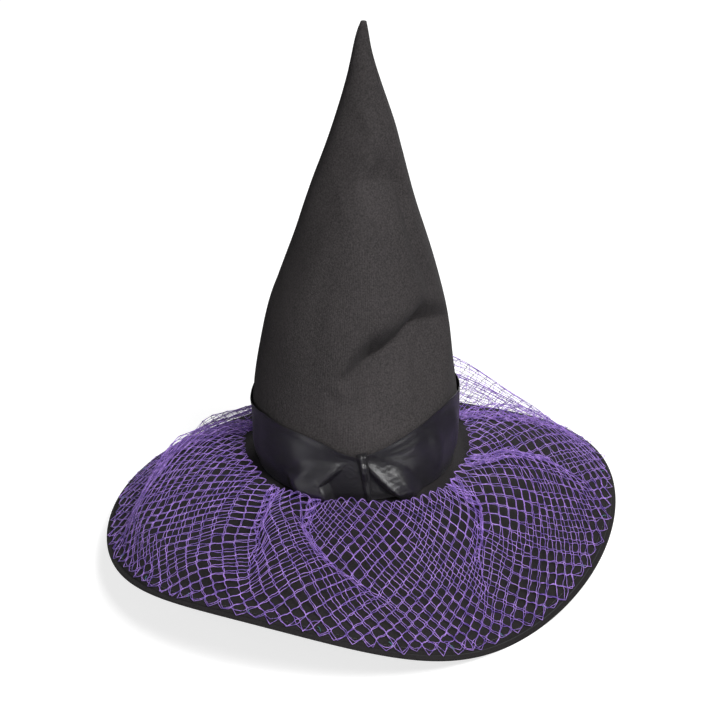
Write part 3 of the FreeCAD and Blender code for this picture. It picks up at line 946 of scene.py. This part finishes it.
def ring_curve(share, layer):
    """One ring of the net round the hat: its angles and heights over the brim, with its pleats folded in."""
    size = (1 - share) ** 1.1 * (1.0 if layer == 0 else 0.85)
    centres = [math.radians(pleat_angle(line, share)) for line, _, _ in PLEATS]
    centres.append(centres[0] + 2 * np.pi)
    radius = NET_RADIUS + share * NET_WIDTH
    base = PLEAT_BASE / radius
    step = np.linspace(0, 1, PLEAT_POINTS)
    span = np.linspace(0, 1, PUFF_POINTS)[1:-1]
    angles, heights = [], []
    for i, (_, flap, side) in enumerate(PLEATS):
        centre, after = centres[i], centres[i + 1]
        next_side = PLEATS[(i + 1) % len(PLEATS)][2]
        swing = PLEAT_FLAP * flap * size / radius * np.sin(2 * np.pi * step)
        angles.append(centre + base * (2 * step - 1) + swing)
        lip = PLEAT_LIP * size + 0.8
        slope = (1 - step) if side > 0 else step
        heights.append(lip * slope + 2.0 * size * np.sin(np.pi * step))
        here = centre + base + span * (after - centre - 2 * base)
        angles.append(here)
        rise = min(1.0, (after - centre) * radius / FULL_PUFF)
        start = lip if side < 0 else 0.0
        end = lip if next_side > 0 else 0.0
        arch = np.sin(np.pi * span) ** 0.6
        puff = puff_height(here) * puff_profile(here, share) * (0.4 + 0.6 * arch * rise)
        edge = start * (1 - span) ** 4 + end * span**4
        heights.append(puff * np.minimum(1, 6 * np.minimum(span, 1 - span) + 0.25) + edge)
    angle, height = np.concatenate(angles), np.concatenate(heights)
    if layer == 1:
        height = height * (1 - 0.35 * (1 - (1 - share) ** 6))
    return angle, height


def lay_strip(share, layer, columns):
    """Lays the strip's columns at equal steps of cloth along one ring of the net."""
    angle, height = ring_curve(share, layer)
    outer = brim_point(angle, NET_OUTER_SHARE)
    inner = inner_radius(angle)
    radius = inner + share * (np.hypot(outer[:, 0], outer[:, 1]) - inner)
    ring = brim_point(angle, brim_share(angle, radius), height + 1.0)
    closed = np.vstack([ring, ring[:1]])
    reach = distances(closed)
    whole = np.append(angle, angle[0] + 2 * np.pi)
    ideal = 2 * np.pi * np.arange(columns) / columns - np.pi
    offset = 0.0
    for _ in range(LAYING_ROUNDS):
        laps, where = np.divmod(np.arange(columns) / columns * reach[-1] + offset, reach[-1])
        placed = np.interp(where, reach, whole) + 2 * np.pi * laps
        offset -= (placed - ideal).mean() / (2 * np.pi) * reach[-1]
    where = (np.arange(columns) / columns * reach[-1] + offset) % reach[-1]
    return along_line(where, reach, closed)


def row_places():
    """Where the rows of half cells lie across the net: closer outwards, where the cells are drawn wide."""
    widths = np.linspace(INNER_CELL, OUTER_CELL, HALF_ROWS)
    steps = np.sqrt(CELL_SIDE**2 - (widths / 2) ** 2)
    return np.concatenate([[0], np.cumsum(steps)]) / steps.sum()


def net_sheet(layer):
    """The grid of one layer of net: rows of half cells outwards, columns of half cells round the hat."""
    columns = 2 * CELLS
    fine = np.array([lay_strip(share, layer, columns) for share in np.linspace(0, 1, SHEET_STEPS)])
    reach = distances(fine)
    rows = row_places()
    grid = np.empty((len(rows), columns, 3))
    for column in range(columns):
        grid[:, column] = along_line(rows * reach[-1, column], reach[:, column], fine[:, column])
    rng = np.random.default_rng(SEED + layer)
    turn = 2 * np.pi * np.arange(columns) / columns
    calm = np.minimum(1, 4 * (1 - rows))[:, None, None]
    for _ in range(NET_WAVES):
        around, across = rng.integers(4, 18), rng.uniform(2, 8)
        phase = rng.uniform(0, 2 * np.pi, 2)
        wave = np.sin(around * turn + phase[0])[None] * np.sin(across * rows + phase[1])[:, None]
        grid += wave[..., None] * rng.normal(size=3) * NET_WAVE_SIZE * calm
    loose = 0.14 + 1.7 * smooth_step(rows, 0.86, 1.0)
    grid += rng.normal(size=grid.shape) * [1, 1, 0.3] * loose[:, None, None]
    return grid


def hermite(points, steps):
    """Smooth places in the gaps between points of shape (paths, points, 3), steps new ones in each."""
    gaps = np.maximum(np.linalg.norm(np.diff(points, axis=1), axis=-1, keepdims=True), 1e-6)
    slopes = np.diff(points, axis=1) / gaps
    tangent = np.empty_like(points)
    tangent[:, 0], tangent[:, -1] = slopes[:, 0], slopes[:, -1]
    before, after = gaps[:, :-1], gaps[:, 1:]
    tangent[:, 1:-1] = (slopes[:, :-1] * after + slopes[:, 1:] * before) / (before + after)
    pieces = []
    for s in np.linspace(0, 1, steps + 1, endpoint=False):
        low, high = 2 * s**3 - 3 * s**2 + 1, -2 * s**3 + 3 * s**2
        first, second = s**3 - 2 * s**2 + s, s**3 - s**2
        place = low * points[:, :-1] + high * points[:, 1:]
        pieces.append(place + gaps * (first * tangent[:, :-1] + second * tangent[:, 1:]))
    return np.stack(pieces, axis=2)


def net_paths(grid):
    """The net's threads over a grid of half cells. Each runs from the outer edge in to a loop and back."""
    rows, columns = grid.shape[:2]
    last = rows - 1
    across = np.gradient(grid, axis=0)
    around = np.roll(grid, -1, axis=1) - np.roll(grid, 1, axis=1)
    normals = unit(np.cross(around, across))
    normals *= np.sign(normals[..., 2:3] + 1e-6)
    step = np.arange(2 * last + 1)
    row = np.abs(step - last)
    column = (2 * np.arange(columns // 2)[:, None] + step[None] - last) % columns
    row = np.broadcast_to(row, column.shape)
    grids = (grid, normals, unit(across), unit(around))
    place, normal, radial, lateral = (values[row, column] for values in grids)
    points, ways = [], []
    for k in range(2 * last + 1):
        if k in (0, last, 2 * last):
            points.append(place[:, k])
            ways.append(normal[:, k])
            continue
        sign = 1.0 if k < last else -1.0
        lift = normal[:, k] * KNOT_LIFT * sign
        for end in (1, -1):
            reach = radial[:, k] * sign * end * KNOT / 2
            points.append(place[:, k] + reach - lateral[:, k] * KNOT_SIDE * end + lift)
            ways.append(normal[:, k])
    points, ways = np.stack(points, axis=1), np.stack(ways, axis=1)
    fine = hermite(points, THREAD_STEPS - 1)
    gaps = np.linalg.norm(np.diff(points, axis=1), axis=-1).mean(axis=0)
    kept = np.where(gaps < 2 * KNOT, 1, THREAD_STEPS)
    paths = [fine[:, gap, :count] for gap, count in enumerate(kept)] + [points[:, -1:]]
    return np.concatenate(paths, axis=1), np.repeat(ways, np.append(kept, 1), axis=1)


def keep_clear(paths):
    """Keeps threads above the brim's cloth and outside the hatband."""
    radius = np.hypot(paths[..., 0], paths[..., 1])
    angle = np.arctan2(paths[..., 1], paths[..., 0])
    turn = np.degrees(angle) + 90
    share = (paths[..., 2] - RIBBON_BOTTOM) / (ribbon_top(turn) - RIBBON_BOTTOM)
    ribbon = ribbon_surface(turn, np.clip(share, 0, 1), 0.2)
    wall = np.hypot(ribbon[..., 0], ribbon[..., 1]) + NET_OFF_RIBBON
    push = np.maximum(wall / np.maximum(radius, 1), 1)
    paths = paths * np.stack([push, push, np.ones_like(push)], axis=-1)
    floor = brim_height(paths[..., 0], paths[..., 1]) + NET_OFF_BRIM
    paths[..., 2] = np.maximum(paths[..., 2], floor)
    return paths


def make_net():
    """The doubled net: an upper and a lower layer of knotted threads."""
    for layer, name in enumerate(("net_veil_upper", "net_veil_lower")):
        paths, ways = net_paths(net_sheet(layer))
        make_threads(name, keep_clear(paths), ways, THREAD, NET_THREAD_PAINTED_GLINTS, "net_veil")


# -------- inside, stitches and small parts


UP = [0.0, 0.0, 1.0]
SWEATBAND_MESH = (30, 360)
LABEL_MESH = (40, 24)
TACK_POINTS = 9
NET_TACKS = 24
RIBBON_TACKS = (-150.0, -30.0, 30.0, 90.0, 150.0)


def make_sweatband():
    """The ribbed tape round the head opening, with small waves on the side that meets the head."""
    rows, columns = SWEATBAND_MESH
    height = np.linspace(0.2, SWEATBAND_TOP - 0.2, rows)
    height, angle = np.meshgrid(height, full_turn(columns), indexing="ij")
    inner = polar(OPENING - 0.78 + 0.12 * np.sin(9 * angle) * np.sin(height / 7), angle, height)
    outer = polar(OPENING - 0.05, angle, height)
    sheet = closed_sheet(outer, inner)
    make_piece("sweatband_tape_ring", *sheet, SWEATBAND_TAPE, "sweatband", sheet_uv(inner))


def make_label():
    """The blank label: a strip that curls a little off the lining."""
    low, high = (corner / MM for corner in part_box("blank_label"))
    rows, columns = LABEL_MESH
    across = np.linspace(low.x + 0.3, high.x - 0.3, columns)
    up, across = np.meshgrid(np.linspace(low.z + 0.2, high.z - 0.3, rows), across, indexing="ij")
    share = (up - low.z) / (high.z - low.z)
    bend = -0.9 * share**2 + 0.25 * np.cos(across / 5.0) * share
    front = np.stack([across, low.y + bend, up], axis=-1)
    back = front + [0, 0.22, 0]
    make_cloth("blank_label_strip", front, back, LABEL_SATIN, "blank_label", wrap=False)


def make_stitching():
    """The rows of stitches, each stitch its own arched thread."""
    angle = np.linspace(0, 2 * np.pi, 2000)
    line = brim_point(angle, STITCH_SHARE, 1.1)
    paths, ways = stitch_run(line, np.tile(UP, (len(angle), 1)), 4.2, 3.2, 0.5)
    make_threads("brim_edge_stitches", paths, ways, 0.25, BLACK_THREAD, "brim_edge_stitching")

    height = np.linspace(16, 360, 600)
    turn = np.full_like(height, SEAM_TURN)
    line = crown_surface(turn, height, -1.7)
    inward = unit(crown_surface(turn, height, -5.0) - line)
    paths, ways = stitch_run(line, inward, 3.6, 2.8, 0.3)
    make_threads("crown_seam_stitches", paths, ways, 0.22, BLACK_THREAD, "crown_seam_stitching")

    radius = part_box("crown_brim_seam_stitching")[1].x / MM - 0.25
    line = polar(radius, angle, 5.0)
    paths, ways = stitch_run(line, line * [1, 1, 0], 3.8, 3.0, 0.0)
    make_threads("crown_brim_stitches", paths, ways, 0.25, BLACK_THREAD, "crown_brim_seam_stitching")


def make_tacks():
    """The net's tacks near its outer edge, and the ribbon's tacks at its lower edge."""
    share = np.linspace(0, 1, TACK_POINTS)
    arch = np.sin(np.pi * share)
    middles = 2 * np.pi * (np.arange(NET_TACKS)[:, None] + 0.5) / NET_TACKS
    out = STITCH_SHARE - 0.02 + 0.024 * share
    net = brim_point(middles + (share - 0.5) * 0.014, out, 1.0 + 1.5 * arch)
    ways = np.tile(UP, net.shape[:2] + (1,))
    make_threads("net_tack_loops", net, ways, 0.28, TEAL_THREAD, "net_tacks")

    turn = np.array(RIBBON_TACKS)[:, None] + 90 + (share - 0.5) * 1.4
    ribbon = ribbon_surface(turn, 0.02 + 0.05 * share, 0.5 + 0.6 * arch)
    ways = unit(ribbon * [1, 1, 0])
    make_threads("hatband_tack_loops", ribbon, ways, 0.22, BLACK_THREAD, "hatband_tacks")


def finish_cad_nodes():
    """Materials for the CAD nodes that are shown as they are, all of them inside the brim."""
    kept = {"brim_stiffener": INTERFACING, "brim_edge_wire": HAT_WIRE, "wire_joiner": JOINER_PLASTIC}
    for node, material in kept.items():
        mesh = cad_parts[node].data
        mesh.materials.clear()
        mesh.materials.append(material)


# -------- camera, light and floor

CAMERA_ELEVATION = 28.0
CAMERA_DISTANCE = 2.2
CAMERA_TARGET = Vector((0.0038, 0.0, 0.0996))
CAMERA_LENS = 115.96
SENSOR_WIDTH = 36.0
WHITE = (1, 1, 1, 1)
ROOM_LIGHT = 0.07
FLOOR_HALF = 6.0
FLOOR_GAP = 0.0005
FLOOR_GLOW = 0.75

# Each softbox: its name, place and size in metres, power in watts, what it faces and its spread in degrees.
MIDDLE = (0, 0, 0.12)
LIGHTS = [
    ("key_softbox", (0.8, -1.3, 1.75), 0.8, 68, MIDDLE, 180),
    ("front_softbox", (0.1, -2.0, 0.85), 0.4, 2, MIDDLE, 180),
    ("left_softbox", (-1.5, -1.1, 0.9), 0.9, 6.5, MIDDLE, 180),
    ("back_softbox", (0.5, 1.7, 1.4), 0.9, 26, MIDDLE, 180),
    ("under_softbox", (0.3, -0.5, -1.6), 1.2, 7, MIDDLE, 180),
    ("right_card", (0.41, -0.62, -0.03), 0.25, 0.05, (0.03, -0.09, 0.02), 30),
    ("left_card", (-0.45, -0.56, -0.03), 0.25, 0.04, (-0.03, -0.09, 0.02), 30),
]


def make_camera():
    """The photo's viewpoint: straight from the front, CAMERA_ELEVATION above level."""
    camera = bpy.data.objects.new("camera", bpy.data.cameras.new("camera"))
    bpy.context.scene.collection.objects.link(camera)
    elevation = math.radians(CAMERA_ELEVATION)
    back = Vector((0, -math.cos(elevation), math.sin(elevation)))
    camera.location = CAMERA_TARGET + back * CAMERA_DISTANCE
    camera.rotation_euler = (math.radians(90 - CAMERA_ELEVATION), 0, 0)
    camera.data.lens = CAMERA_LENS
    camera.data.sensor_width = SENSOR_WIDTH
    bpy.context.scene.camera = camera


def make_light(name, place, size, power, target, spread):
    """A square softbox."""
    light = bpy.data.lights.new(name, "AREA")
    light.size = size
    light.energy = power
    light.spread = math.radians(spread)
    lamp = bpy.data.objects.new(name, light)
    bpy.context.scene.collection.objects.link(lamp)
    lamp.location = place
    lamp.rotation_euler = (Vector(target) - Vector(place)).to_track_quat("-Z", "Y").to_euler()


def make_floor():
    """A pale floor just under the brim's lowest point. It can be seen through from below."""
    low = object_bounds()[0].z - FLOOR_GAP
    ways = ((-1, -1), (1, -1), (1, 1), (-1, 1))
    corners = [(x * FLOOR_HALF, y * FLOOR_HALF, low) for x, y in ways]
    mesh = bpy.data.meshes.new("floor")
    mesh.from_pydata(corners, [], [(0, 1, 2, 3)])
    floor = bpy.data.objects.new("floor", mesh)
    bpy.context.scene.collection.objects.link(floor)
    nodes = Nodes("floor")
    seen = nodes.add("ShaderNodeLightPath").outputs["Is Camera Ray"]
    nodes.set(Base_Color=nodes.mix(seen, grey(0.1), grey(0.4)), Roughness=0.9)
    nodes.set(Emission_Color=WHITE, Emission_Strength=nodes.maths("MULTIPLY", seen, FLOOR_GLOW))
    behind = nodes.add("ShaderNodeNewGeometry").outputs["Backfacing"]
    shadow = nodes.add("ShaderNodeLightPath").outputs["Is Shadow Ray"]
    nodes.set(Alpha=nodes.maths("SUBTRACT", 1.0, nodes.maths("MAXIMUM", behind, shadow)))
    mesh.materials.append(nodes.material)


def make_world():
    """A white room: plain white to the camera, and a dimmer light from all sides for the hat."""
    world = bpy.data.worlds.new("white_room")
    bpy.context.scene.world = world
    world.use_nodes = True
    tree = world.node_tree
    room = tree.nodes["Background"]
    room.inputs["Color"].default_value = WHITE
    room.inputs["Strength"].default_value = ROOM_LIGHT
    seen = tree.nodes.new("ShaderNodeBackground")
    seen.inputs["Color"].default_value = WHITE
    seen.inputs["Strength"].default_value = 1.0
    path = tree.nodes.new("ShaderNodeLightPath")
    mix = tree.nodes.new("ShaderNodeMixShader")
    tree.links.new(path.outputs["Is Camera Ray"], mix.inputs["Fac"])
    tree.links.new(room.outputs["Background"], mix.inputs[1])
    tree.links.new(seen.outputs["Background"], mix.inputs[2])
    tree.links.new(mix.outputs["Shader"], tree.nodes["World Output"].inputs["Surface"])
    bpy.context.scene.view_settings.view_transform = "Standard"


def main():
    make_crown()
    make_interfacing()
    make_ribbon()
    make_keeper()
    make_brim_top()
    make_brim_underside()
    make_edge_casing()
    make_net()
    make_sweatband()
    make_label()
    make_stitching()
    make_tacks()
    finish_cad_nodes()
    make_floor()
    make_world()
    for light in LIGHTS:
        make_light(*light)
    make_camera()


main()
